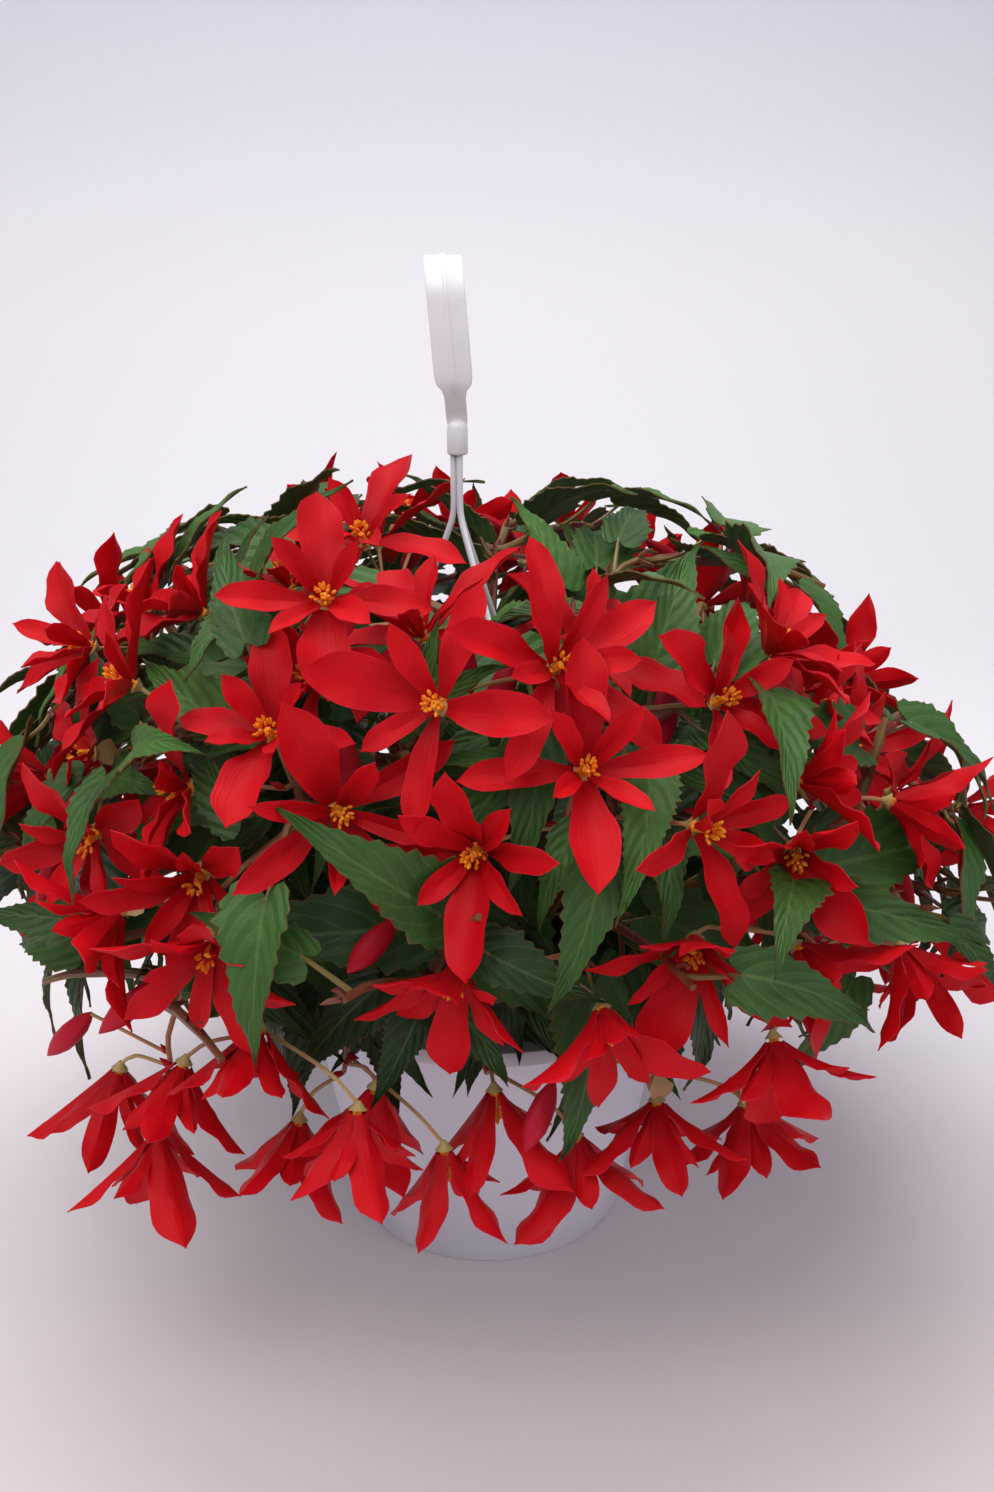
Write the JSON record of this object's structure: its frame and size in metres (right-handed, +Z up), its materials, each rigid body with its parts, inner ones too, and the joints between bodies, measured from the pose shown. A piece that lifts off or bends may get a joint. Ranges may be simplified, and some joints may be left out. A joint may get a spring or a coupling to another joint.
{
  "type": "hanging basket begonia",
  "caption": "Trailing begonia in full red flower, grown in a white plastic hanging pot with a strap hook and thin hanger strands, standing on the pot's base.",
  "frame": {"origin": "middle of the pot's flat base, on the surface that the pot stands on", "axes": "+Z up, along the pot's axis; -Y towards the front of the picture; +X to the right"},
  "size_m": [0.5211, 0.5229, 0.513],
  "materials": {
    "pot_plastic": "satin",
    "soil": "rough",
    "hanger_plastic": "satin",
    "foliage": "satin",
    "petals": "satin"
  },
  "bodies": {
    "root": {"pot": "pot_plastic", "soil": "soil", "hanger_hook": "hanger_plastic", "hanger_strand_left": "hanger_plastic", "hanger_strand_front": "hanger_plastic", "hanger_strand_back": "hanger_plastic", "leafy_stem_01": "foliage", "leafy_stem_02": "foliage", "leafy_stem_03": "foliage", "leafy_stem_04": "foliage", "leafy_stem_05": "foliage", "leafy_stem_06": "foliage", "leafy_stem_07": "foliage", "leafy_stem_08": "foliage", "leafy_stem_09": "foliage", "leafy_stem_10": "foliage", "leafy_stem_11": "foliage", "leafy_stem_12": "foliage", "leafy_stem_13": "foliage", "leafy_stem_14": "foliage", "leafy_stem_15": "foliage", "leafy_stem_16": "foliage", "leafy_stem_17": "foliage", "leafy_stem_18": "foliage", "leafy_stem_19": "foliage", "leafy_stem_20": "foliage", "leafy_stem_21": "foliage", "leafy_stem_22": "foliage", "flower_spray_01": "petals", "flower_spray_02": "petals", "flower_spray_03": "petals", "flower_spray_04": "petals", "flower_spray_05": "petals", "flower_spray_06": "petals", "flower_spray_07": "petals", "flower_spray_08": "petals", "flower_spray_09": "petals", "flower_spray_10": "petals", "flower_spray_11": "petals", "flower_spray_12": "petals", "flower_spray_13": "petals", "flower_spray_14": "petals", "flower_spray_15": "petals", "flower_spray_16": "petals", "flower_spray_17": "petals", "flower_spray_18": "petals", "flower_spray_19": "petals", "flower_spray_20": "petals", "flower_spray_21": "petals", "flower_spray_22": "petals", "flower_spray_23": "petals", "flower_spray_24": "petals", "flower_spray_25": "petals", "flower_spray_26": "petals", "flower_spray_27": "petals", "flower_spray_28": "petals", "flower_spray_29": "petals", "flower_spray_30": "petals", "flower_spray_31": "petals", "flower_spray_32": "petals"}
  },
  "joints": []
}
